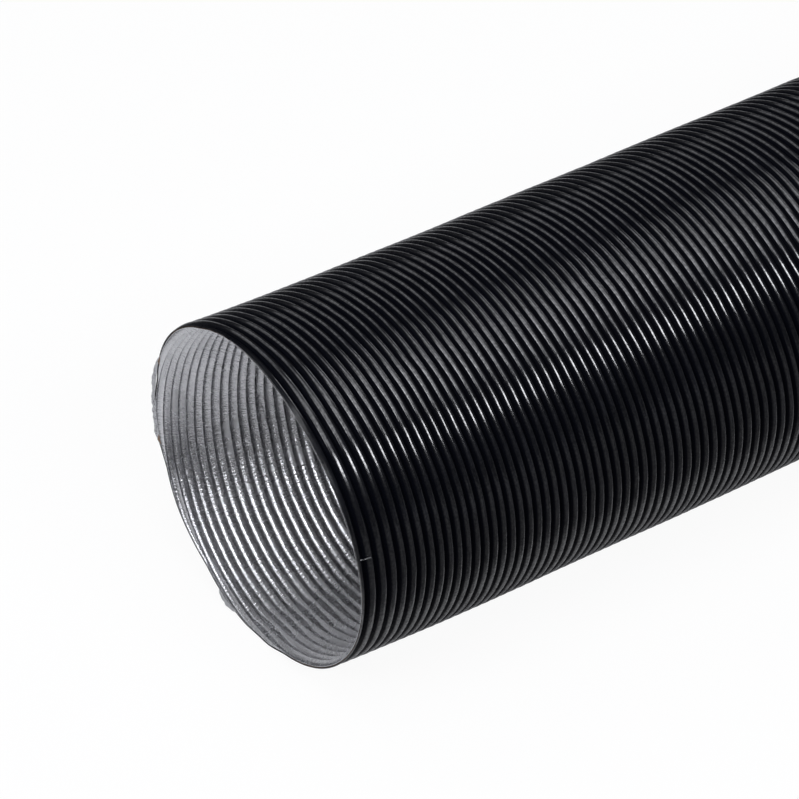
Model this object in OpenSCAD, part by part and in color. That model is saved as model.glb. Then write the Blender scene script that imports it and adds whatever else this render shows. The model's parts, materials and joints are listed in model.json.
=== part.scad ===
// Flexible air duct of the laminated kind: a bare aluminium foil lining, a kraft paper core and
// a black plastic film outside, wound together and pressed into fine ribs. Both ends are cut
// square and left plain, so each end slips over a round spigot or into a socket.
//
// Millimetres. The duct lies along +X, the origin is the centre of the inlet's cut end, +Z is up.
// Along its length the wall is split into short ribbed stretches, so that it can bend and stretch:
//   inlet cuff, bellows 1, ring 1, bellows 2, ring 2 ... ring 8, bellows 9, outlet cuff
// Each stretch has three nested layers: foil, paper and film, with a line of glue between them.
// The stretches meet on the crests of the ribs.

/* [Bore and ribs] */
// Clear diameter inside the ribs, the duct's nominal size
bore_d = 100; // [60:1:200]
// Distance from one rib to the next
rib_pitch = 3; // [2.4:0.1:5]
// Height of a rib, from root to crest
rib_height = 1.23; // [0.9:0.01:2.5]
// Length of the flat on a rib's crest
crest_flat = 0.6; // [0.3:0.05:1]
// Length of the flat at the root between two ribs
root_flat = 0.6; // [0.3:0.05:1]

/* [Wall layers] */
// Thickness of the foil lining, across the duct's radius
foil_t = 0.1; // [0.05:0.01:0.3]
// Thickness of the kraft paper core
paper_t = 0.35; // [0.2:0.01:0.8]
// Thickness of the plastic film outside
film_t = 0.2; // [0.1:0.01:0.5]
// Thickness of the line of glue between two layers
glue_t = 0.06; // [0.04:0.01:0.1]

/* [Length] */
// Ribs in the cuff at each end, the length that a spigot takes up
cuff_ribs = 12; // [4:1:24]
// Ribs in each bellows, the stretches that bend
bellows_ribs = 14; // [6:1:24]
// Ribs in each ring between two bellows
ring_ribs = 2; // [1:1:6]

/* [Underside] */
// Depth that the crests are pressed flat where the duct lies on the floor
pressed_flat = 0.5; // [0.2:0.05:0.7]

/* [Hidden] */
$fn = 96;
BELLOWS = 9;

// Inner radius of each layer at a root
foil_r = bore_d / 2;
paper_r = foil_r + foil_t + glue_t;
film_r = paper_r + paper_t + glue_t;

// A cutter or a void runs on this far past what it cuts
past = 1;

// Every stretch along the duct as [name, count of ribs], from the inlet to the outlet
STRETCHES = [
    ["inlet_cuff", cuff_ribs],
    for (i = [1 : BELLOWS], ring = [0, 1])
        if (ring == 0) [str("bellows_", i), bellows_ribs]
        else if (i < BELLOWS) [str("ring_", i), ring_ribs],
    ["outlet_cuff", cuff_ribs]
];

// Ribs before stretch i, counted from the inlet
function ribs_before(i) = i == 0 ? 0 : ribs_before(i - 1) + STRETCHES[i - 1][1];

// The ribbed line [x, radius] of one face of the wall over whole ribs, from crest to crest
function rib_line(root_r, first, count) =
    let (crest_r = root_r + rib_height, start = first * rib_pitch)
    [
        [start, crest_r],
        for (i = [0 : count - 1])
            let (x = start + i * rib_pitch, mid = x + rib_pitch / 2)
            each [
                [x + crest_flat / 2, crest_r],
                [mid - root_flat / 2, root_r],
                [mid + root_flat / 2, root_r],
                [x + rib_pitch - crest_flat / 2, crest_r]
            ],
        [start + count * rib_pitch, crest_r]
    ];

// A solid ribbed rod along +X, with its crests pressed flat underneath
module ribbed_rod(root_r, first, count) {
    crest_r = root_r + rib_height;
    start = first * rib_pitch;
    length = count * rib_pitch;
    line = rib_line(root_r, first, count);
    intersection() {
        rotate([0, -90, 0])
            rotate_extrude()
                polygon([[0, -start], for (p = line) [p.y, -p.x], [0, -start - length]]);
        translate([start - past, -crest_r - past, pressed_flat - crest_r])
            cube([length + 2 * past, 2 * (crest_r + past), 2 * crest_r + past]);
    }
}

// One layer of the wall over a stretch: its outer face, less its inner face run on past both ends
module layer(root_r, thickness, first, count) {
    difference() {
        ribbed_rod(root_r + thickness, first, count);
        ribbed_rod(root_r, first - 1, count + 2);
    }
}

module foil(first, count) {
    color([0.72, 0.73, 0.74]) layer(foil_r, foil_t, first, count);
}

module paper(first, count) {
    color([0.60, 0.44, 0.27]) layer(paper_r, paper_t, first, count);
}

module film(first, count) {
    color([0.07, 0.07, 0.08]) layer(film_r, film_t, first, count);
}

for (i = [0 : len(STRETCHES) - 1]) {
    name = STRETCHES[i][0];
    count = STRETCHES[i][1];
    film(ribs_before(i), count);
    paper(ribs_before(i), count);
    foil(ribs_before(i), count);
}
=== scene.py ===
"""Looks of a flexible air duct: aluminium foil lining, kraft paper core and black film cover.

Every length is in metres, in the duct's own frame: +X runs along the duct from the inlet's cut
end, whose centre is the origin, and +Z is up. Each layer of the wall is laid over each stretch of
ribs by one Geometry Nodes tree; the pieces on a cuff or a ring ride on its body.
"""
import json
import logging
import math
from dataclasses import dataclass, field
from enum import Enum

import bpy
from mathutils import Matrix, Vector


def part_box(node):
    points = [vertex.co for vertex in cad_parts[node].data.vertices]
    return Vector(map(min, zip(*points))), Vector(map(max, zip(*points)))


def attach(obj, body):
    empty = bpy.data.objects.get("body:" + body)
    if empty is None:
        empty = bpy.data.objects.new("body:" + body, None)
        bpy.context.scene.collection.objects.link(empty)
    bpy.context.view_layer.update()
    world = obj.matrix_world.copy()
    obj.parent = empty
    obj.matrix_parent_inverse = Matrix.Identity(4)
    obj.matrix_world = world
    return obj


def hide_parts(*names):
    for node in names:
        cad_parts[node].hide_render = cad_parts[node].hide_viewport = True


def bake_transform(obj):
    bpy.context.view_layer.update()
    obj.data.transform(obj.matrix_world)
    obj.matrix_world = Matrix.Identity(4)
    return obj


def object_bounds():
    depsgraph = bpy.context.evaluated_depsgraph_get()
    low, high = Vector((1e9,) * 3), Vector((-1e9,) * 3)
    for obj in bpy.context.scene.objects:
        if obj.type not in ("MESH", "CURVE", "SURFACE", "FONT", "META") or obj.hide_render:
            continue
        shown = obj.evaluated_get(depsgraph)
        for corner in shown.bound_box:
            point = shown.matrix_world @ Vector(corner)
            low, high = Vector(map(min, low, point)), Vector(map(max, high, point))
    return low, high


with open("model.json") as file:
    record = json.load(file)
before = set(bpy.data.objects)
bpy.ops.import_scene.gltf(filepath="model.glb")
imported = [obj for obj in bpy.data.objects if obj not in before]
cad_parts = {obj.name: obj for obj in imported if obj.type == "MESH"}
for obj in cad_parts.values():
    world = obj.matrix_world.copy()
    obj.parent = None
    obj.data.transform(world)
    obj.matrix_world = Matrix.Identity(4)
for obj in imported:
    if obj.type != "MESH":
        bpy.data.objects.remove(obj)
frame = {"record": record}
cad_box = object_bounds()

log = logging.getLogger("duct")

Number = float | int | bool

SOCKETS = {float: "NodeSocketFloat", int: "NodeSocketInt", bool: "NodeSocketBool"}
REST = "rest_place"
CREST = "crest"
CREST_RADIUS = 0.052
MERGE_DISTANCE = 1e-6
SHARP_ANGLE = math.radians(62.0)
# Keeps a whole number from being rounded down, and a divisor away from zero
NUDGE = 1e-4


class Layer(Enum):
    """The three layers of the wall, from the outside in."""

    FILM = "film"
    PAPER = "paper"
    FOIL = "foil"


class Term:
    """A value inside a node tree, with the usual arithmetic."""

    def __init__(self, sheet: "NodeSheet", socket: bpy.types.NodeSocket) -> None:
        """Wraps an output socket of one of the sheet's nodes."""
        self.sheet = sheet
        self.socket = socket

    def __add__(self, other: "Term | Number") -> "Term":
        """Sum."""
        return self.sheet.math("ADD", self, other)

    __radd__ = __add__

    def __sub__(self, other: "Term | Number") -> "Term":
        """Difference."""
        return self.sheet.math("SUBTRACT", self, other)

    def __rsub__(self, other: "Term | Number") -> "Term":
        """Difference, the other way round."""
        return self.sheet.math("SUBTRACT", other, self)

    def __mul__(self, other: "Term | Number") -> "Term":
        """Product."""
        return self.sheet.math("MULTIPLY", self, other)

    __rmul__ = __mul__

    def __truediv__(self, other: "Term | Number") -> "Term":
        """Quotient."""
        return self.sheet.math("DIVIDE", self, other)

    def __neg__(self) -> "Term":
        """The value with its sign turned round."""
        return self * -1.0


class NodeSheet:
    """Writes nodes into one tree, of geometry or of a shader."""

    def __init__(self, tree: bpy.types.NodeTree) -> None:
        """Starts writing into a tree."""
        self.tree = tree

    def node(self, kind: str, **settings: object) -> bpy.types.Node:
        """Adds a node.

        Args:
            kind: Blender's name of the node's type.
            **settings: Properties to set on the node.

        Returns:
            The new node.
        """
        made = self.tree.nodes.new(kind)
        for name, value in settings.items():
            setattr(made, name, value)
        return made

    def plug(self, socket: bpy.types.NodeSocket, value: object) -> None:
        """Links a term to a socket, or writes a plain value into it.

        Args:
            socket: The input socket.
            value: A Term, or a value that the socket can hold.
        """
        if isinstance(value, Term):
            self.tree.links.new(value.socket, socket)
        else:
            socket.default_value = value

    def fill(self, node: bpy.types.Node, **values: object) -> bpy.types.Node:
        """Plugs several inputs of a node by name, with an underscore for a space.

        Args:
            node: The node.
            **values: Input name to Term or plain value.

        Returns:
            The same node.
        """
        for name, value in values.items():
            self.plug(node.inputs[name.replace("_", " ")], value)
        return node

    def out(self, node: bpy.types.Node, name: str | int = 0) -> Term:
        """Gives one output of a node as a term."""
        return Term(self, node.outputs[name])

    def math(self, operation: str, *values: "Term | Number") -> Term:
        """Adds a Math node.

        Args:
            operation: The node's operation, such as ADD.
            *values: One to three values.

        Returns:
            The result.
        """
        made = self.node("ShaderNodeMath", operation=operation)
        for socket, value in zip(made.inputs, values):
            self.plug(socket, value)
        return self.out(made)

    def ramp(self, value: Term, low: object, high: object, start: object = 0.0,
             end: object = 1.0, smooth: bool = True) -> Term:
        """Maps a value from one range to another, held at both ends.

        Args:
            value: What is mapped.
            low: The value that gives start.
            high: The value that gives end.
            start: Result at low.
            end: Result at high.
            smooth: Whether the ramp eases in and out.

        Returns:
            The mapped value.
        """
        kind = "SMOOTHSTEP" if smooth else "LINEAR"
        made = self.node("ShaderNodeMapRange", interpolation_type=kind, clamp=True)
        for socket, item in zip(made.inputs, (value, low, high, start, end)):
            self.plug(socket, item)
        return self.out(made)

    def join(self, x: object, y: object, z: object) -> Term:
        """Makes a vector out of three values.

        Args:
            x: The first value, a term or a number.
            y: The second value.
            z: The third value.

        Returns:
            The vector.
        """
        made = self.node("ShaderNodeCombineXYZ")
        for socket, value in zip(made.inputs, (x, y, z)):
            self.plug(socket, value)
        return self.out(made)

    def split(self, vector: Term) -> tuple[Term, Term, Term]:
        """Splits a vector into its three values.

        Args:
            vector: The vector.

        Returns:
            Its X, Y and Z.
        """
        made = self.node("ShaderNodeSeparateXYZ")
        self.plug(made.inputs[0], vector)
        return self.out(made, 0), self.out(made, 1), self.out(made, 2)

    def noise(self, place: Term, detail: float = 2.0, roughness: float = 0.5) -> Term:
        """Smooth noise from 0 to 1 at a place that is already in units of its grain.

        Args:
            place: The vector that the noise reads.
            detail: How many finer octaves are added.
            roughness: How strong the finer octaves are.

        Returns:
            The noise.
        """
        made = self.node("ShaderNodeTexNoise")
        self.fill(made, Vector=place, Scale=1.0, Detail=detail, Roughness=roughness)
        return self.out(made, 0)

    def choose(self, when: Term, yes: object, no: object) -> Term:
        """Gives one of two numbers, by a yes or no (geometry trees only).

        Args:
            when: The yes or no.
            yes: The number for a yes.
            no: The number for a no.

        Returns:
            The number.
        """
        made = self.node("GeometryNodeSwitch", input_type="FLOAT")
        for socket, value in zip(made.inputs, (when, no, yes)):
            self.plug(socket, value)
        return self.out(made)

    def whole(self, operation: str, a: object, b: object) -> Term:
        """Adds a sum of whole numbers (geometry trees only).

        Args:
            operation: The node's operation, such as ADD.
            a: The first whole number.
            b: The second one.

        Returns:
            The result.
        """
        made = self.node("FunctionNodeIntegerMath", operation=operation)
        self.plug(made.inputs[0], a)
        self.plug(made.inputs[1], b)
        return self.out(made)

    def group(self, tree: bpy.types.NodeTree, **values: object) -> bpy.types.Node:
        """Adds another tree as a group node and plugs its inputs.

        Args:
            tree: The group's tree.
            **values: Input name, with an underscore for a space, to Term or plain value.

        Returns:
            The group node.
        """
        kind = type(self.tree).__name__.replace("Tree", "Group")
        return self.fill(self.node(kind, node_tree=tree), **values)


def new_tree(name: str, kind: str, inputs: dict[str, Number | str],
             outputs: dict[str, str]) -> tuple[NodeSheet, dict[str, Term], bpy.types.Node]:
    """Starts a node group with named inputs and outputs.

    Args:
        name: The group's name.
        kind: GeometryNodeTree or ShaderNodeTree.
        inputs: Input name to its value when nothing is plugged, or to its socket type.
        outputs: Output name to socket type.

    Returns:
        The sheet, the inputs as terms by name, and the output node.
    """
    tree = bpy.data.node_groups.new(name, kind)
    for label, value in inputs.items():
        bare = isinstance(value, str)
        made = tree.interface.new_socket(label, in_out="INPUT",
                                         socket_type=value if bare else SOCKETS[type(value)])
        if not bare:
            made.default_value = value
    for label, socket_type in outputs.items():
        tree.interface.new_socket(label, in_out="OUTPUT", socket_type=socket_type)
    sheet = NodeSheet(tree)
    source = sheet.node("NodeGroupInput")
    terms = {label: sheet.out(source, label) for label in inputs}
    return sheet, terms, sheet.node("NodeGroupOutput")


@dataclass(frozen=True)
class Mode:
    """One wave round the duct: so many bulges, so high, the first at an angle."""

    bulges: int
    height: float
    angle: float


@dataclass(frozen=True)
class Rib:
    """The ribs of the wall, which run parallel in the strip that the duct is wound from.

    So they climb along the duct as a screw with several starts, and its turns lie at a slant.
    """

    pitch: float = 0.003
    height: float = 0.00123
    roundness: float = 2.0
    starts: int = 5
    first: float = -0.0003
    slants: tuple[Mode, ...] = (Mode(1, 0.0022, 75.0), Mode(2, 0.0004, 25.0))


@dataclass(frozen=True)
class WallStack:
    """Radii of the layers at a root, and how far the crests are pressed flat underneath."""

    bore: float = 0.050
    foil: float = 0.0001
    paper: float = 0.00035
    film: float = 0.0002
    glue: float = 0.00006
    pressed_flat: float = 0.0005

    def faces(self, layer: Layer) -> tuple[float, float]:
        """Gives the place of both faces of a layer.

        Args:
            layer: The layer.

        Returns:
            Its inner and its outer radius at a root.
        """
        inner, thickness = {
            Layer.FOIL: (self.bore, self.foil),
            Layer.PAPER: (self.bore + self.foil + self.glue, self.paper),
            Layer.FILM: (self.bore + self.foil + self.paper + 2 * self.glue, self.film),
        }[layer]
        return inner, inner + thickness


@dataclass(frozen=True)
class Unevenness:
    """A smooth noise over the wall: its height, its grain, its draw and its finer octaves."""

    height: float
    grain: float
    shift: float
    detail: float


@dataclass
class DuctForm:
    """How the duct departs from a true ribbed cylinder, after being cut and handled."""

    crest_radius: float = CREST_RADIUS
    lean: float = 0.038
    lean_fades: tuple[float, float] = (0.09, 0.33)
    mouth_depth: float = 0.034
    mouth_modes: tuple[Mode, ...] = (Mode(1, 0.0017, 49.0),)
    cut_modes: tuple[Mode, ...] = (Mode(1, 0.00086, -132.3), Mode(2, 0.00068, 23.8))
    spread: float = 0.0023
    spread_depth: float = 0.019
    spread_angle: float = 150.0
    swell: Unevenness = Unevenness(0.00035, 0.045, 3.7, 2.0)
    wander: Unevenness = Unevenness(0.00045, 0.022, 41.3, 3.0)
    wander_starts: tuple[float, float] = (0.0, 0.006)
    dent: Unevenness = Unevenness(0.00012, 0.007, 8.9, 1.0)
    dented_above: tuple[float, float] = (0.64, 0.78)
    tree: bpy.types.NodeTree | None = field(default=None, init=False)

    def lean_at(self, x: float) -> float:
        """The lean of the ribs at a place along the duct.

        Args:
            x: The distance from the inlet.

        Returns:
            How much nearer the inlet a crest lies half-way between its side and its top.
        """
        t = (x - self.lean_fades[0]) / (self.lean_fades[1] - self.lean_fades[0])
        t = min(1.0, max(0.0, t))
        return self.lean * x * (1.0 - t * t * (3.0 - 2.0 * t))

    def spread_at(self, x: float) -> float:
        """How far one side of the ribs is drawn out at a place along the duct."""
        depth = x / self.spread_depth
        return self.spread * depth * math.exp(1.0 - depth)

    def cut(self, sheet: NodeSheet, angle: Term) -> Term:
        """Where the inlet's cut runs, which isn't quite square."""
        return waves(sheet, angle, self.cut_modes)

    def build(self) -> bpy.types.NodeTree:
        """Builds the group that turns a place on the true cylinder into the real one.

        Returns:
            The group, with the input Rest and the output Place.
        """
        sheet, terms, end = new_tree(
            "Duct Form", "GeometryNodeTree",
            {"Rest": "NodeSocketVector", "Lean": self.lean, "Mouth Depth": self.mouth_depth,
             "Swell": self.swell.height, "Wander": self.wander.height, "Spread": self.spread,
             "Dent": self.dent.height},
            {"Place": "NodeSocketVector"})
        x, y, z = sheet.split(terms["Rest"])
        radius = sheet.math("SQRT", y * y + z * z)
        angle = sheet.math("ARCTAN2", z, y)
        bulge = waves(sheet, angle, self.mouth_modes)
        mouth = sheet.math("EXPONENT", -(x / terms["Mouth Depth"]))
        crest = x, y / radius * self.crest_radius, z / radius * self.crest_radius
        sway = self._noise(sheet, crest, self.swell)
        knock = self._noise(sheet, crest, self.dent)
        grown = (radius + bulge * mouth + (sway - 0.5) * 2.0 * terms["Swell"]
                 - sheet.ramp(knock, *self.dented_above) * terms["Dent"])
        drift = self._noise(sheet, crest, self.wander)
        fade = sheet.ramp(x, *self.lean_fades, 1.0, 0.0)
        lean = (terms["Lean"] * x * fade) * ((y + z) / (self.crest_radius * math.sqrt(2.0)))
        depth = x / self.spread_depth
        drawn = depth * sheet.math("EXPONENT", 1.0 - depth) * terms["Spread"]
        drawn = drawn * sheet.math("COSINE", angle - math.radians(self.spread_angle))
        shaken = (drift - 0.5) * 2.0 * terms["Wander"] * sheet.ramp(x, *self.wander_starts)
        moved_x = x - lean + drawn + shaken
        sheet.plug(end.inputs["Place"],
                   sheet.join(moved_x, y / radius * grown, z / radius * grown))
        self.tree = sheet.tree
        return sheet.tree

    @staticmethod
    def _noise(sheet: NodeSheet, place: tuple[Term, Term, Term], kind: Unevenness) -> Term:
        """Reads one kind of unevenness.

        Args:
            sheet: The tree that is written.
            place: The place on the wall, as X, Y and Z.
            kind: The kind of unevenness.

        Returns:
            The unevenness there, from 0 to 1.
        """
        x, y, z = place
        grain = kind.grain
        return sheet.noise(sheet.join(x / grain + kind.shift, y / grain, z / grain), kind.detail)


@dataclass
class RibbedWall:
    """The tree that lays one layer of the wall over a stretch of ribs, as a closed shell."""

    rib: Rib
    stack: WallStack
    form: DuctForm
    fine_rows: int = 12
    plain_rows: int = 4
    segments: int = 144
    hidden_ease: float = 0.00006
    tags: tuple[float, ...] = (21.0, 347.0)
    tag_widths: tuple[float, float] = (0.5, 2.2)
    tears_round: float = 9.0
    tear_noise: tuple[float, float] = (5.0, 0.65)
    spare_ribs: int = 2
    tree: bpy.types.NodeTree | None = field(default=None, init=False)

    def build(self) -> bpy.types.NodeTree:
        """Builds the tree.

        Its profile runs along the seen face from before the stretch to past it, and back along
        the hidden face. The rows follow the ribs, and what lies outside the stretch is drawn back
        onto its ends, so that one grid, wrapped both ways, closes the shell.

        Returns:
            The tree.
        """
        rib = self.rib
        sheet, terms, end = new_tree(
            "Ribbed Wall", "GeometryNodeTree",
            {"Start": 0.0, "Ribs": 12, "Rib Pitch": rib.pitch, "Rib Height": rib.height,
             "Roundness": rib.roundness, "Starts": rib.starts, "First Rib": rib.first,
             "Slant": 1.0, "Inner Radius": self.stack.bore,
             "Outer Radius": self.stack.bore + self.stack.foil, "Seen From Outside": True,
             "Hidden Ease": self.hidden_ease, "Seen Rows": self.fine_rows,
             "Hidden Rows": self.plain_rows, "Segments": self.segments,
             "Pressed Flat": self.stack.pressed_flat, "Ragged Start": 0.0, "Ragged End": 0.0,
             "Cut Back": 0.0, "Tag Length": 0.0, "Seed": 0.0, "Finish": "NodeSocketMaterial"},
            {"Geometry": "NodeSocketGeometry"})
        pitch, ribs = terms["Rib Pitch"], terms["Ribs"]
        turns = sheet.whole("ADD", sheet.whole("ADD", ribs, terms["Starts"]), self.spare_ribs)
        seen_rings, hidden_rings = (
            sheet.whole("ADD", sheet.whole("MULTIPLY", turns, terms[rows]), 1)
            for rows in ("Seen Rows", "Hidden Rows"))
        grid, part, seen, stop = wrapped_grid(
            sheet, seen_rings, hidden_rings, sheet.whole("ADD", terms["Segments"], 1))
        angle = part * math.tau
        lead = terms["Starts"] * pitch
        slanted = waves(sheet, angle, rib.slants) * terms["Slant"]
        climb = part * lead + slanted + terms["First Rib"]

        along = stop / sheet.choose(seen, terms["Seen Rows"], terms["Hidden Rows"]) * pitch
        before = lead + pitch - climb
        length = ribs * pitch
        first, last = self._ends(sheet, terms, length, angle)
        trimmed = sheet.math("MINIMUM", sheet.math("MAXIMUM", along - before, first), last)

        on_ribs = sheet.math("MINIMUM", sheet.math("MAXIMUM", trimmed, 0.0), length)
        from_crest = sheet.math("PINGPONG", on_ribs + before, pitch / 2.0) / (pitch / 2.0)
        height = 1.0 - sheet.math("POWER", from_crest, terms["Roundness"])
        outside = sheet.math("COMPARE", seen, terms["Seen From Outside"], 0.5)
        root = sheet.choose(outside, terms["Outer Radius"], terms["Inner Radius"])
        ease = terms["Hidden Ease"] * sheet.choose(seen, 0.0, 1.0)
        eased = root + ease * sheet.choose(terms["Seen From Outside"], -1.0, 1.0)
        radius = eased + height * terms["Rib Height"]
        floor = terms["Pressed Flat"] - eased - terms["Rib Height"]
        flat_z = sheet.math("MAXIMUM", radius * sheet.math("SINE", angle), floor)
        across = radius * sheet.math("COSINE", angle)

        rest = sheet.join(terms["Start"] + trimmed, across, flat_z)
        formed = sheet.group(self.form.tree or self.form.build(), Rest=rest)

        sheet.plug(end.inputs["Geometry"],
                   close_shape(sheet, grid, sheet.out(formed), terms["Finish"],
                               {REST: ("FLOAT_VECTOR", rest), CREST: ("FLOAT", height)}))
        self.tree = sheet.tree
        return sheet.tree

    def _ends(self, sheet: NodeSheet, terms: dict[str, Term], length: Term,
              angle: Term) -> tuple[Term, Term]:
        """Where the layer ends, whose cut edges are torn, cut back or left standing.

        Args:
            sheet: The tree that is written.
            terms: The tree's inputs.
            length: The stretch's length.
            angle: Angle round the duct.

        Returns:
            The first and the last place along the stretch.
        """
        circle = sheet.join(sheet.math("COSINE", angle) * self.tears_round + terms["Seed"],
                            sheet.math("SINE", angle) * self.tears_round, 0.0)
        torn = (sheet.noise(circle, *self.tear_noise) - 0.5) * 2.0
        tags: Term | float = 0.0
        for place in self.tags:
            tags = hill(sheet, angle, place, *self.tag_widths) + tags
        at_start = sheet.math("GREATER_THAN", terms["Ragged Start"], 0.0)
        at_end = sheet.math("GREATER_THAN", terms["Ragged End"], 0.0)
        standing = tags * (terms["Tag Length"] + terms["Cut Back"]) * (torn + 1.0)
        cut = self.form.cut(sheet, angle) + terms["Cut Back"] - standing
        first = torn * terms["Ragged Start"] + cut * at_start
        last = length - torn * terms["Ragged End"] - terms["Cut Back"] * at_end
        return first, last

    def lay(self, name: str, values: dict[str, object]) -> bpy.types.Object:
        """Lays one layer over one stretch, as a plain mesh.

        Args:
            name: The piece's name.
            values: Input name of the tree to its value.

        Returns:
            The piece.
        """
        return realise(name, self.tree or self.build(), values)


def waves(sheet: NodeSheet, angle: Term, modes: tuple[Mode, ...]) -> Term:
    """Adds up several waves round the duct.

    Args:
        sheet: The tree that is written.
        angle: Angle round the duct.
        modes: The waves.

    Returns:
        Their sum.
    """
    total: Term | float = 0.0
    for mode in modes:
        turn = angle * float(mode.bulges) - math.radians(mode.bulges * mode.angle)
        total = sheet.math("COSINE", turn) * mode.height + total
    return total


def hill(sheet: NodeSheet, angle: Term, centre: float, core: float, width: float) -> Term:
    """A hill round the duct: 1 within core degrees of its centre, and 0 beyond width degrees."""
    off = sheet.math("ARCCOSINE", sheet.math("COSINE", angle - math.radians(centre)))
    return sheet.ramp(off, math.radians(core), math.radians(width), 1.0, 0.0)


def wrapped_grid(sheet: NodeSheet, front: Term, back: Term,
                 across: Term) -> tuple[Term, Term, Term, Term]:
    """Starts a closed shape: one grid, whose rings run along its front and return on its back.

    Args:
        sheet: The tree that is written.
        front: How many rings the front has.
        back: How many rings the back has.
        across: How many points a ring has, of which the last lies on the first in a closed ring.

    Returns:
        The grid and, for each of its points, its part of the way round its ring, whether it is
        on the front, and how many rings it lies from where the front starts.
    """
    rings = sheet.whole("ADD", front, back)
    grid = sheet.node("GeometryNodeMeshGrid")
    sheet.fill(grid, Size_X=1.0, Size_Y=1.0, Vertices_X=sheet.whole("ADD", rings, 1),
               Vertices_Y=across)
    index = sheet.out(sheet.node("GeometryNodeInputIndex"))
    ring = sheet.math("FLOORED_MODULO", sheet.math("FLOOR", index / across + NUDGE), rings)
    part = sheet.math("FLOORED_MODULO", index, across) / (across - 1.0)
    on_front = sheet.math("LESS_THAN", ring, front - 0.5)
    return sheet.out(grid), part, on_front, sheet.choose(on_front, ring, rings - 1.0 - ring)


def close_shape(sheet: NodeSheet, grid: Term, place: Term, finish: Term,
                kept: dict[str, tuple[str, Term]]) -> Term:
    """Turns a grid whose sides meet into a closed, smooth shape with its finish.

    Args:
        sheet: The tree that is written.
        grid: The grid.
        place: Where each of its points goes.
        finish: The material.
        kept: Name of each attribute that finishes read, to its type and value.

    Returns:
        The shape.
    """
    shape = grid
    for name, (kind, value) in kept.items():
        made = sheet.node("GeometryNodeStoreNamedAttribute", data_type=kind, domain="POINT")
        shape = sheet.out(sheet.fill(made, Geometry=shape, Name=name, Value=value))
    steps = {
        "GeometryNodeSetPosition": {"Position": place},
        "GeometryNodeMergeByDistance": {"Distance": MERGE_DISTANCE},
        "GeometryNodeSetShadeSmooth": {},
        "GeometryNodeRealizeInstances": {},
        "GeometryNodeSetMaterial": {"Material": finish},
    }
    for kind, values in steps.items():
        shape = sheet.out(sheet.fill(sheet.node(kind), Geometry=shape, **values))
    return shape


@dataclass(frozen=True)
class Scrap:
    """One scrap: its piece's name, its span of the rim in degrees, and its sizes by name."""

    name: str
    span: tuple[float, float]
    sizes: dict[str, Number]


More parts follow.
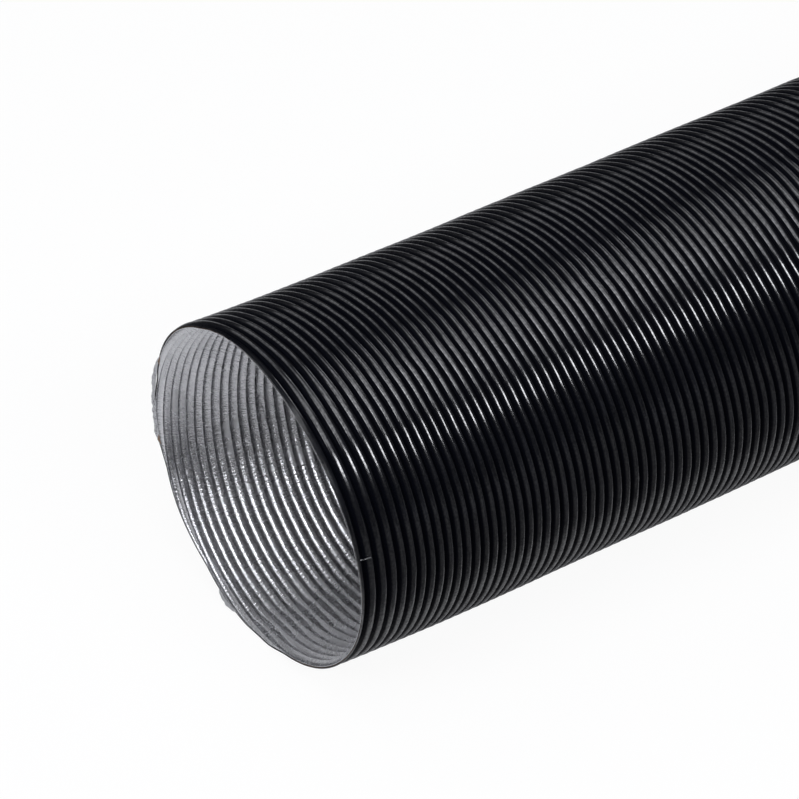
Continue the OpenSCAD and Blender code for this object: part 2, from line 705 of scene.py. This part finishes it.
@dataclass
class TornFoil:
    """Scraps of the lining that were torn loose at the mouth and bent outwards."""

    form: DuctForm
    finish: bpy.types.Material
    scraps: tuple[Scrap, ...] = (
        Scrap("torn_foil_flap", (-19.0, 25.0), {"Crumple": 0.0013, "Grain": 0.0020}),
        Scrap("torn_foil_curl", (283.5, 295.0), {
            "Length": 0.0078, "Lean Out": 0.7, "Curl": 4.6, "Crumple": 0.0008,
            "Grain": 0.0012, "Seed": 7.7, "Rows": 32, "Columns": 60}),
        Scrap("torn_foil_sliver", (164.7, 165.1), {
            "Length": 0.0038, "Lean Out": 2.45, "Curl": 0.5, "Crumple": 0.0001,
            "Seed": 4.1, "Columns": 16}),
    )
    edge_radius: float = 0.05128
    thickness: float = 0.00005
    overlap: float = 0.0001
    edge_noise: tuple[float, float] = (2.0, 0.6)
    edge_stretch: float = 0.3
    crease_noise: tuple[float, float] = (4.0, 0.62)
    crease_squeeze: float = 1.3
    tapering_part: float = 0.22
    thinning_part: float = 0.2
    taut_part: float = 0.35
    reach: tuple[float, float] = (1.5, 0.25)

    def build(self, body: str) -> None:
        """Tears every scrap loose.

        Args:
            body: The body that the scraps ride on.
        """
        tree = self._strip()
        for scrap in self.scraps:
            start, end = scrap.span
            values = {"From Angle": math.radians(start), "To Angle": math.radians(end),
                      "Finish": self.finish, **scrap.sizes}
            piece = realise(scrap.name, tree, values)
            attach(piece, body)
            log.info("%s: %d faces", piece.name, len(piece.data.polygons))

    def _strip(self) -> bpy.types.NodeTree:
        """Builds the tree for one scrap: a thin closed strip along a stretch of the rim.

        Returns:
            The tree.
        """
        sheet, terms, end = new_tree(
            "Torn Foil", "GeometryNodeTree",
            {"From Angle": -0.4, "To Angle": 0.5, "Edge Radius": self.edge_radius,
             "Thickness": self.thickness, "Length": 0.0016, "Lean Out": 0.9, "Curl": 0.7,
             "Crumple": 0.0003, "Grain": 0.0016, "Seed": 2.6, "Rows": 20, "Columns": 160,
             "Finish": "NodeSocketMaterial"},
            {"Geometry": "NodeSocketGeometry"})
        rows = terms["Rows"]
        grid, part, front, stop = wrapped_grid(sheet, rows, rows, terms["Columns"])
        angle = terms["From Angle"] + part * (terms["To Angle"] - terms["From Angle"])
        step = stop / (rows - 1.0)
        side = sheet.choose(front, 1.0, -1.0)

        grain = terms["Grain"]
        across = angle * terms["Edge Radius"] / grain
        edge = sheet.join(across * self.edge_stretch, terms["Seed"], 0.0)
        torn = sheet.noise(edge, *self.edge_noise)
        ends = sheet.ramp(sheet.math("PINGPONG", part, 0.5), 0.0, self.tapering_part)
        reach = terms["Length"] * ends * (torn * self.reach[0] + self.reach[1])
        place = sheet.join(across, step * reach / grain * self.crease_squeeze, terms["Seed"])
        creased = (sheet.noise(place, *self.crease_noise) - 0.5) * 2.0
        half_turn = terms["Curl"] * step * 0.5 + NUDGE
        bend = terms["Lean Out"] + half_turn
        slack = creased * terms["Crumple"] * ends * sheet.ramp(step, 0.0, self.taut_part)
        thinned = sheet.ramp(ends, 0.0, self.thinning_part)
        lift = side * terms["Thickness"] * 0.5 * thinned + slack
        chord = step * reach * sheet.math("SINE", half_turn) / half_turn
        out = sheet.math("SINE", bend) * chord + sheet.math("COSINE", bend) * lift
        ahead = sheet.math("COSINE", bend) * chord - sheet.math("SINE", bend) * lift
        radius = terms["Edge Radius"] + out
        rest = sheet.join(self.form.cut(sheet, angle) + self.overlap - ahead,
                          radius * sheet.math("COSINE", angle),
                          radius * sheet.math("SINE", angle))
        formed = sheet.group(self.form.tree or self.form.build(), Rest=rest)
        sheet.plug(end.inputs["Geometry"],
                   close_shape(sheet, grid, sheet.out(formed), terms["Finish"],
                               {REST: ("FLOAT_VECTOR", rest)}))
        return sheet.tree


def realise(name: str, tree: bpy.types.NodeTree, values: dict[str, object]) -> bpy.types.Object:
    """Runs a Geometry Nodes tree and keeps the result as a plain mesh.

    Args:
        name: The piece's name.
        tree: The tree.
        values: Input name of the tree to its value.

    Returns:
        The piece, with no modifier left on it.
    """
    empty = bpy.data.meshes.new(name)
    piece = bpy.data.objects.new(name, empty)
    bpy.context.scene.collection.objects.link(piece)
    modifier = piece.modifiers.new("Shape", "NODES")
    modifier.node_group = tree
    for item in tree.interface.items_tree:
        if item.item_type == "SOCKET" and item.in_out == "INPUT" and item.name in values:
            modifier[item.identifier] = values[item.name]
    graph = bpy.context.evaluated_depsgraph_get()
    plain = bpy.data.meshes.new_from_object(
        piece.evaluated_get(graph), preserve_all_data_layers=True, depsgraph=graph)
    piece.modifiers.clear()
    piece.data = plain
    plain.name = name
    bpy.data.meshes.remove(empty)
    plain.set_sharp_from_angle(angle=SHARP_ANGLE)
    return piece


@dataclass
class ShaderGroups:
    """The effects that more than one finish uses, each built once."""

    crease_noise: tuple[float, float] = (3.0, 0.6)
    patch_noise: tuple[float, float] = (4.0, 0.65)
    patch_edge: float = 0.12

    def __post_init__(self) -> None:
        """Builds the groups."""
        self.wall_map = self._wall_map()
        self.creases = self._creases()
        self.handling = self._handling()

    @staticmethod
    def _wall_map() -> bpy.types.NodeTree:
        """Unrolls the wall: X is the distance along the duct, and Y is the distance round it.

        Returns:
            The group, which gives the place on the unrolled wall.
        """
        sheet, terms, end = new_tree(
            "Unrolled Wall", "ShaderNodeTree", {"Rest": "NodeSocketVector"},
            {"Flat": "NodeSocketVector"})
        x, y, z = sheet.split(terms["Rest"])
        round_it = sheet.math("ARCTAN2", y, z) * CREST_RADIUS
        sheet.plug(end.inputs["Flat"], sheet.join(x, round_it, 0.0))
        return sheet.tree

    def _creases(self) -> bpy.types.NodeTree:
        """Fine creases stretched one way, as in foil and film pressed over ribs.

        Returns:
            The group, which gives the creases' height from 0 to 1.
        """
        sheet, terms, end = new_tree(
            "Creases", "ShaderNodeTree",
            {"Flat": "NodeSocketVector", "Along Grain": 0.002, "Round Grain": 0.0005,
             "Shift": 0.0},
            {"Height": "NodeSocketFloat"})
        x, y, _ = sheet.split(terms["Flat"])
        place = sheet.join(x / terms["Along Grain"], y / terms["Round Grain"], terms["Shift"])
        sheet.plug(end.inputs["Height"], sheet.noise(place, *self.crease_noise))
        return sheet.tree

    def _handling(self) -> bpy.types.NodeTree:
        """Patches where hands and shelves have rubbed the wall.

        Returns:
            The group, which gives a mask with 1 in the patches.
        """
        sheet, terms, end = new_tree(
            "Handling", "ShaderNodeTree",
            {"Rest": "NodeSocketVector", "Patch": 0.02, "Cover": 0.5},
            {"Mask": "NodeSocketFloat"})
        x, y, z = sheet.split(terms["Rest"])
        patch = terms["Patch"]
        broad = sheet.noise(sheet.join(x / patch, y / patch, z / patch), *self.patch_noise)
        edge, soft = 1.0 - terms["Cover"], self.patch_edge
        sheet.plug(end.inputs["Mask"], sheet.ramp(broad, edge - soft, edge + soft))
        return sheet.tree


@dataclass(frozen=True)
class Grain:
    """How coarse creases are along the duct and round it, and which draw of them it is."""

    along: float
    around: float
    shift: float = 0.0


@dataclass(frozen=True)
class Patches:
    """How large handled patches are, and how much of the wall they cover."""

    size: float
    cover: float


@dataclass(frozen=True)
class Relief:
    """How deep a pattern is pressed in, and how strongly it shades."""

    depth: float
    strength: float


@dataclass(frozen=True)
class Finish:
    """A finish with the parts that all finishes share."""

    name: str
    colour: tuple[float, float, float]
    groups: ShaderGroups

    def start(self) -> tuple[bpy.types.Material, NodeSheet, bpy.types.Node]:
        """Starts the material.

        Returns:
            The material, its sheet and its Principled BSDF.
        """
        material = bpy.data.materials.new(self.name)
        material.use_nodes = True
        sheet = NodeSheet(material.node_tree)
        shader = material.node_tree.nodes["Principled BSDF"]
        shader.inputs["Base Color"].default_value = (*self.colour, 1.0)
        return material, sheet, shader

    @staticmethod
    def rest(sheet: NodeSheet) -> Term:
        """The wall's place before it bends, which the pattern keeps to."""
        return sheet.out(sheet.node("ShaderNodeAttribute", attribute_name=REST), "Vector")

    @staticmethod
    def crest(sheet: NodeSheet) -> Term:
        """1 on a rib's crest and 0 at its root."""
        return sheet.out(sheet.node("ShaderNodeAttribute", attribute_name=CREST), "Fac")

    def unrolled(self, sheet: NodeSheet) -> Term:
        """The resting wall's place when it is unrolled flat."""
        return sheet.out(sheet.group(self.groups.wall_map, Rest=self.rest(sheet)))

    def creased(self, sheet: NodeSheet, flat: Term, grain: Grain) -> Term:
        """Creases on the unrolled wall, from 0 to 1."""
        return sheet.out(sheet.group(self.groups.creases, Flat=flat, Along_Grain=grain.along,
                                     Round_Grain=grain.around, Shift=grain.shift))

    def handled(self, sheet: NodeSheet, patches: Patches) -> Term:
        """1 where hands and shelves have rubbed the wall, and 0 elsewhere."""
        return sheet.out(sheet.group(self.groups.handling, Rest=self.rest(sheet),
                                     Patch=patches.size, Cover=patches.cover))

    @staticmethod
    def bump(sheet: NodeSheet, height: Term, relief: Relief,
             normal: Term | None = None) -> Term:
        """Adds a Bump node.

        Args:
            sheet: The shader tree.
            height: The pattern that stands up.
            relief: How deep and how strong the pattern is.
            normal: The normal of another Bump node, which this one adds to.

        Returns:
            The normal.
        """
        made = sheet.node("ShaderNodeBump")
        made.inputs["Strength"].default_value = relief.strength
        made.inputs["Distance"].default_value = relief.depth
        sheet.plug(made.inputs["Height"], height)
        if normal is not None:
            sheet.plug(made.inputs["Normal"], normal)
        return sheet.out(made)

    @staticmethod
    def mix(sheet: NodeSheet, mask: Term, a: Term | tuple[float, ...],
            b: Term | tuple[float, ...]) -> Term:
        """Mixes two colours by a mask.

        Args:
            sheet: The shader tree.
            mask: 0 for the first colour and 1 for the second.
            a: The first colour, a term or red, green and blue.
            b: The second colour.

        Returns:
            The mixed colour.
        """
        made = sheet.node("ShaderNodeMix", data_type="RGBA")
        for place, value in ((0, mask), (6, a), (7, b)):
            sheet.plug(made.inputs[place], (*value, 1.0) if isinstance(value, tuple) else value)
        return sheet.out(made, 2)


@dataclass(frozen=True)
class BlackFilm(Finish):
    """Black plastic film with a soft gloss on the crests, pulled over the ribs."""

    rubbed: Patches = Patches(0.012, 0.45)
    rubbed_crest: tuple[float, float] = (0.75, 1.0)
    rubbed_share: float = 0.5
    rubbed_grey: tuple[float, float] = (3.0, 0.006)
    drawn: Grain = Grain(0.0005, 0.006)
    puckers: Grain = Grain(0.0025, 0.0014, 7.3)
    specks: Grain = Grain(0.0006, 0.0008, 19.1)
    roughness: tuple[float, float, float] = (0.30, 0.12, 0.12)
    specular: float = 0.02
    gloss: tuple[float, float, float] = (0.35, 0.40, 0.25)
    gloss_crest: tuple[float, float] = (0.60, 0.96)
    gloss_specks: tuple[float, float] = (0.40, 0.60)
    gloss_drawn: tuple[float, float] = (0.35, 0.60)
    gloss_roughness: float = 0.16
    gloss_index: float = 2.1
    pucker_relief: Relief = Relief(0.00018, 0.8)
    fine_relief: Relief = Relief(0.00007, 0.9)
    fine_shares: tuple[float, float] = (2.4, 3.2)

    def build(self) -> bpy.types.Material:
        """Builds the material.

        Returns:
            The material.
        """
        material, sheet, shader = self.start()
        crest, flat = self.crest(sheet), self.unrolled(sheet)
        drawn, puckers, specks = (self.creased(sheet, flat, grain)
                                  for grain in (self.drawn, self.puckers, self.specks))
        worn = self.handled(sheet, self.rubbed) * sheet.ramp(crest, *self.rubbed_crest)
        scale, offset = self.rubbed_grey
        grey = tuple(scale * c + offset for c in self.colour)
        sheet.plug(shader.inputs["Base Color"],
                   self.mix(sheet, worn * self.rubbed_share, self.colour, grey))
        plain, by_drawn, by_worn = self.roughness
        sheet.plug(shader.inputs["Roughness"], plain + drawn * by_drawn + worn * by_worn)
        least, by_specks, by_drawn = self.gloss
        sparkle = (least + sheet.ramp(specks, *self.gloss_specks) * by_specks
                   + sheet.ramp(drawn, *self.gloss_drawn) * by_drawn)
        sheet.plug(shader.inputs["Coat Weight"], sheet.ramp(crest, *self.gloss_crest) * sparkle)
        fine = specks * self.fine_shares[0] + drawn * self.fine_shares[1]
        normal = self.bump(sheet, puckers, self.pucker_relief)
        sheet.plug(shader.inputs["Normal"], self.bump(sheet, fine, self.fine_relief, normal))
        shader.inputs["Specular IOR Level"].default_value = self.specular
        shader.inputs["Coat Roughness"].default_value = self.gloss_roughness
        shader.inputs["Coat IOR"].default_value = self.gloss_index
        return material


@dataclass(frozen=True)
class BareFoil(Finish):
    """Bare aluminium foil, creased where it was pressed into the ribs, with painted shade in the
    grooves.
    """

    dulled: Patches = Patches(0.009, 0.4)
    dark: float = 0.74
    dark_shares: tuple[float, float] = (0.4, 0.8)
    # Painted shade in the grooves: how dark the colour gets, and over which crest heights it
    # darkens.
    deep: float = 0.80
    deep_crest: tuple[float, float] = (0.35, 0.85)
    streaks: Grain = Grain(0.006, 0.0004, 11.9)
    creases: Grain = Grain(0.003, 0.0007)
    crackle: Grain = Grain(0.0006, 0.0006, 5.7)
    pits_per_metre: float = 450.0
    pit_width: float = 0.28
    roughness: tuple[float, float, float, float] = (0.15, 0.12, 0.10, 0.08)
    crease_relief: Relief = Relief(0.00024, 0.8)
    crackle_relief: Relief = Relief(0.00008, 0.9)
    pit_relief: Relief = Relief(0.000012, 0.6)

    def build(self) -> bpy.types.Material:
        """Builds the material.

        Returns:
            The material.
        """
        material, sheet, shader = self.start()
        flat, dull = self.unrolled(sheet), self.handled(sheet, self.dulled)
        streaks, creases, crackle = (self.creased(sheet, flat, grain)
                                     for grain in (self.streaks, self.creases, self.crackle))
        darkened = dull * self.dark_shares[0] + streaks * self.dark_shares[1]
        plain = self.mix(sheet, darkened, self.colour, tuple(self.dark * c for c in self.colour))
        # Painted shade: the colour darkens towards the rib crests, which are the foil's grooves
        # seen from inside.
        painted_groove_shade = sheet.ramp(self.crest(sheet), *self.deep_crest)
        sheet.plug(shader.inputs["Base Color"],
                   self.mix(sheet, painted_groove_shade, plain, tuple(self.deep * c for c in self.colour)))
        shader.inputs["Metallic"].default_value = 1.0
        least, by_streaks, by_dull, by_crackle = self.roughness
        sheet.plug(shader.inputs["Roughness"],
                   least + streaks * by_streaks + dull * by_dull + crackle * by_crackle)
        normal = self.bump(sheet, creases, self.crease_relief)
        normal = self.bump(sheet, crackle, self.crackle_relief, normal)
        sheet.plug(shader.inputs["Normal"],
                   self.bump(sheet, self._pits(sheet, flat), self.pit_relief, normal))
        return material

    def _pits(self, sheet: NodeSheet, flat: Term) -> Term:
        """Small pits pressed into the foil.

        Args:
            sheet: The shader tree.
            flat: The place on the unrolled wall.

        Returns:
            0 in the middle of a pit, and 1 beyond its edge.
        """
        place = sheet.node("ShaderNodeVectorMath", operation="SCALE")
        sheet.plug(place.inputs[0], flat)
        place.inputs["Scale"].default_value = self.pits_per_metre
        cells = sheet.node("ShaderNodeTexVoronoi", feature="F1")
        sheet.fill(cells, Vector=sheet.out(place), Scale=1.0)
        return sheet.ramp(sheet.out(cells, "Distance"), 0.0, self.pit_width)


@dataclass(frozen=True)
class KraftPaper(Finish):
    """Brown kraft paper with its fibres, seen only at the cut ends."""

    fibres: Grain = Grain(0.0012, 0.00015)
    pale: tuple[float, float] = (1.5, 0.03)
    roughness: float = 0.9
    relief: Relief = Relief(0.00008, 0.8)

    def build(self) -> bpy.types.Material:
        """Builds the material.

        Returns:
            The material.
        """
        material, sheet, shader = self.start()
        fibres = self.creased(sheet, self.unrolled(sheet), self.fibres)
        scale, offset = self.pale
        pale = tuple(min(1.0, scale * c + offset) for c in self.colour)
        sheet.plug(shader.inputs["Base Color"], self.mix(sheet, fibres, self.colour, pale))
        shader.inputs["Roughness"].default_value = self.roughness
        sheet.plug(shader.inputs["Normal"], self.bump(sheet, fibres, self.relief))
        return material


@dataclass(frozen=True)
class LayerForm:
    """What differs from layer to layer: the pieces' name, their ragged edge and its draw."""

    name: str
    ragged: float
    seed: float


@dataclass
class Duct:
    """The whole duct: stretches of wall in three layers, those of cuffs and rings on their bodies.
    """

    wall: RibbedWall
    finishes: dict[Layer, bpy.types.Material]
    bodies: tuple[str, ...]
    blend_inset: float = 0.002
    paper_back: float = 0.0005
    paper_tag: float = 0.0010
    paper_ease: float = 0.00007
    layers: dict[Layer, LayerForm] = field(default_factory=lambda: {
        Layer.FILM: LayerForm("cover", 0.00015, 3.1),
        Layer.PAPER: LayerForm("core", 0.0003, 17.9),
        Layer.FOIL: LayerForm("lining", 0.0002, 8.4)})

    def stretches(self) -> list[tuple[str, str, str]]:
        """Lists the stretches in their order along the duct.

        Returns:
            The name of each stretch, with the bodies at its start and at its end.
        """
        found = [(self.bodies[0], self.bodies[0], self.bodies[0])]
        for number, (body, following) in enumerate(zip(self.bodies, self.bodies[1:]), start=1):
            found.append((f"bellows_{number}", body, following))
            found.append((following, following, following))
        return found

    def build(self) -> None:
        """Lays every layer over every stretch, and seats the pieces of cuffs and rings on their
        bodies.
        """
        for name, body, following in self.stretches():
            for layer in Layer:
                self._lay(name, layer, body, following)

    def _lay(self, stretch: str, layer: Layer, body: str, following: str) -> None:
        """Lays one layer over one stretch.

        Args:
            stretch: The stretch's name.
            layer: The layer.
            body: The body at the stretch's start.
            following: The body at its end, which is the same one on a cuff or a ring.
        """
        node = f"{stretch}_{layer.value}"
        low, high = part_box(node)
        inner, outer = self.wall.stack.faces(layer)
        look = self.layers[layer]
        values = {
            "Start": low.x, "Ribs": round((high.x - low.x) / self.wall.rib.pitch),
            "Inner Radius": inner, "Outer Radius": outer,
            "Seen From Outside": layer is not Layer.FOIL,
            "Seed": look.seed, "Finish": self.finishes[layer],
        }
        if layer is Layer.PAPER:
            values |= {"Seen Rows": self.wall.plain_rows, "Cut Back": self.paper_back,
                       "Tag Length": self.paper_tag, "Hidden Ease": 0.0,
                       "Inner Radius": inner + self.paper_ease,
                       "Outer Radius": outer - self.paper_ease}
        if stretch == self.bodies[0]:
            values["Ragged Start"] = look.ragged
        if stretch == self.bodies[-1]:
            values["Ragged End"] = look.ragged
        piece = self.wall.lay(f"{stretch}_{look.name}", values)
        if body == following:
            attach(piece, body)
        else:
            start, end = self._blend_span(low.x, high.x)
            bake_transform(piece)
        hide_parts(node)
        log.info("%s: %d faces", piece.name, len(piece.data.polygons))

    def _blend_span(self, start_x: float, end_x: float) -> tuple[Vector, Vector]:
        """The two points just inside a bellows's ends, along the way its ribs face.

        Args:
            start_x: Where the bellows starts.
            end_x: Where it ends.

        Returns:
            The points, which give the planes through the axis just inside both ends.
        """
        form = self.wall.form
        lean = (form.lean_at(start_x) + form.lean_at(end_x)) / 2.0
        spread = (form.spread_at(start_x) + form.spread_at(end_x)) / 2.0
        tilt = lean / math.sqrt(2.0)
        turn = math.radians(form.spread_angle)
        facing = Vector((form.crest_radius, tilt - spread * math.cos(turn),
                         tilt - spread * math.sin(turn))).normalized()
        start = Vector((start_x + self.blend_inset, 0.0, 0.0))
        span = (end_x - start_x - 2.0 * self.blend_inset) * facing.x
        return start, start + facing * span


@dataclass(frozen=True)
class Softbox:
    """A rectangular soft lamp that faces a point on the duct's axis."""

    name: str
    place: tuple[float, float, float]
    faces_x: float
    length: float
    height: float
    radiance: float
    tint: tuple[float, float, float] = (0.975, 0.985, 1.030)

    def build(self) -> None:
        """Builds the lamp, with its length level."""
        data = bpy.data.lights.new(self.name, "AREA")
        data.shape = "RECTANGLE"
        data.color = self.tint
        data.size, data.size_y = self.length, self.height
        data.energy = self.radiance * math.pi * self.length * self.height
        lamp = bpy.data.objects.new(self.name, data)
        bpy.context.scene.collection.objects.link(lamp)
        away = Vector(self.place) - Vector((self.faces_x, 0.0, 0.0))
        lamp.location = self.place
        lamp.rotation_mode = "QUATERNION"
        lamp.rotation_quaternion = away.to_track_quat("Z", "Y")


@dataclass(frozen=True)
class LongLens:
    """A camera with a long lens that looks down along the duct's near side."""

    place: tuple[float, float, float] = (-0.52458, -0.83465, 0.83195)
    azimuth: float = -34.464
    elevation: float = 38.904
    lens: float = 208.97
    sensor: float = 36.0

    def build(self) -> None:
        """Builds the camera and makes it the scene's."""
        azimuth, elevation = math.radians(self.azimuth), math.radians(self.elevation)
        back = Vector((math.sin(azimuth) * math.cos(elevation),
                       -math.cos(azimuth) * math.cos(elevation), math.sin(elevation)))
        data = bpy.data.cameras.new("camera")
        data.lens, data.sensor_width = self.lens, self.sensor
        camera = bpy.data.objects.new("camera", data)
        camera.location = self.place
        camera.rotation_mode = "QUATERNION"
        camera.rotation_quaternion = (-back).to_track_quat("-Z", "Y")
        bpy.context.scene.collection.objects.link(camera)
        bpy.context.scene.camera = camera


@dataclass
class Studio:
    """The floor, the lamps, the world and the camera."""

    floor_z: float
    camera: LongLens = LongLens()
    lamps: tuple[Softbox, ...] = (
        Softbox("key", (-0.02, -1.58, 1.38), 0.05, 1.50, 0.45, 9.5),
        Softbox("key_far", (-1.51, -0.42, 1.35), 0.05, 1.00, 0.42, 10.5),
        Softbox("halo", (-0.80, -0.60, 2.16), 0.05, 1.70, 1.70, 0.9),
        Softbox("fill_left", (-0.90, 0.90, 0.34), 0.0, 1.20, 0.60, 0.4),
        Softbox("far_end", (1.70, 0.42, 1.23), 0.05, 0.80, 0.50, 2.2),
        Softbox("top", (-0.10, -0.35, 1.35), 0.1, 1.60, 1.30, 1.0),
        Softbox("back_top", (0.0, 1.07, 1.19), 0.1, 1.50, 1.30, 0.7),
    )
    room_level: float = 0.05
    backdrop_level: float = 1.0
    floor_colour: float = 0.95
    # Painted light and shade on the floor for all but camera rays: its dark and pale colour, and
    # where it changes across the floor.
    floor_bounce: tuple[float, float] = (0.06, 0.70)
    floor_glow: float = 0.93
    floor_reflected: float = 0.05
    floor_near: tuple[float, float] = (-0.085, -0.055)
    floor_half: float = 6.0
    floor_roughness: float = 0.8
    floor_detail: float = 3.0
    floor_relief: Relief = Relief(0.0001, 0.2)

    def build(self) -> None:
        """Builds the studio."""
        for lamp in self.lamps:
            lamp.build()
        self._world()
        self._floor()
        self.camera.build()
        bpy.context.scene.view_settings.view_transform = "Standard"

    def _world(self) -> None:
        """A dim room that shows white behind the duct."""
        world = bpy.data.worlds.new("studio")
        world.use_nodes = True
        bpy.context.scene.world = world
        sheet = NodeSheet(world.node_tree)
        back = world.node_tree.nodes["Background"]
        level = self._by_ray(sheet, self.room_level, self.backdrop_level, self.room_level)
        back.inputs["Color"].default_value = (1.0, 1.0, 1.0, 1.0)
        sheet.plug(back.inputs["Strength"], level)

    @staticmethod
    def _by_ray(sheet: NodeSheet, plain: Term | float, seen: float,
                reflected: Term | float) -> Term:
        """A level that differs for what the camera sees and for what gloss and foil reflect.

        Args:
            sheet: The shader tree.
            plain: Level for all other rays.
            seen: Level for the camera.
            reflected: Level for reflections, and for what shows through.

        Returns:
            The level.
        """
        path = sheet.node("ShaderNodeLightPath")
        shiny = sheet.math("MAXIMUM", sheet.out(path, "Is Glossy Ray"),
                           sheet.out(path, "Is Transmission Ray"))
        level = sheet.ramp(shiny, 0.0, 1.0, plain, reflected, smooth=False)
        return sheet.ramp(sheet.out(path, "Is Camera Ray"), 0.0, 1.0, level, seen, smooth=False)

    def _floor(self) -> None:
        """A wide pale floor that keeps the duct's shadow, with painted light and shade in its
        colour for reflections and bounced light.
        """
        half = self.floor_half
        mesh = bpy.data.meshes.new("floor")
        corners = [(-half, -half), (half, -half), (half, half), (-half, half)]
        mesh.from_pydata([(x, y, self.floor_z) for x, y in corners], [], [(0, 1, 2, 3)])
        floor = bpy.data.objects.new("floor", mesh)
        bpy.context.scene.collection.objects.link(floor)
        material = bpy.data.materials.new("pale floor")
        material.use_nodes = True
        tree = material.node_tree
        sheet = NodeSheet(tree)
        shader = tree.nodes["Principled BSDF"]
        place = sheet.out(sheet.node("ShaderNodeTexCoord"), "Object")
        _, y, _ = sheet.split(place)
        # Painted light and shade in the floor's colour for all but camera rays: pale under and
        # behind the duct, dark on its near side further out.
        painted_light = sheet.ramp(y, *self.floor_near, *self.floor_bounce)
        bright = self._by_ray(sheet, painted_light, self.floor_colour, painted_light)
        sheet.plug(shader.inputs["Base Color"], sheet.join(bright, bright, bright))
        shader.inputs["Roughness"].default_value = self.floor_roughness
        grain = sheet.noise(place, self.floor_detail)
        sheet.plug(shader.inputs["Normal"], Finish.bump(sheet, grain, self.floor_relief))
        glow = sheet.node("ShaderNodeEmission")
        mix = sheet.node("ShaderNodeMixShader")
        sheet.plug(mix.inputs[0],
                   self._by_ray(sheet, 0.0, self.floor_glow, self.floor_reflected))
        tree.links.new(shader.outputs[0], mix.inputs[1])
        tree.links.new(glow.outputs[0], mix.inputs[2])
        tree.links.new(mix.outputs[0], tree.nodes["Material Output"].inputs["Surface"])
        mesh.materials.append(material)


def main() -> None:
    """Builds the studio, then the duct."""
    logging.basicConfig(level=logging.INFO, format="%(name)s: %(message)s")
    low, _ = cad_box
    Studio(floor_z=low.z).build()
    groups = ShaderGroups()
    finishes = {
        Layer.FILM: BlackFilm("black film", (0.0021, 0.0024, 0.0042), groups).build(),
        Layer.PAPER: KraftPaper("kraft paper", (0.17, 0.115, 0.08), groups).build(),
        Layer.FOIL: BareFoil("bare foil", (0.74, 0.741, 0.76), groups).build(),
    }
    # Painted shade: the scraps are the lining's foil, given a darker colour than the lining.
    torn = BareFoil("torn foil shaded darker", (0.57, 0.575, 0.59), groups).build()
    bodies = tuple(frame["record"]["behaviour"]["bodies"])
    form = DuctForm()
    Duct(RibbedWall(Rib(), WallStack(), form), finishes, bodies).build()
    TornFoil(form, torn).build(bodies[0])


if __name__ == "__main__":
    main()
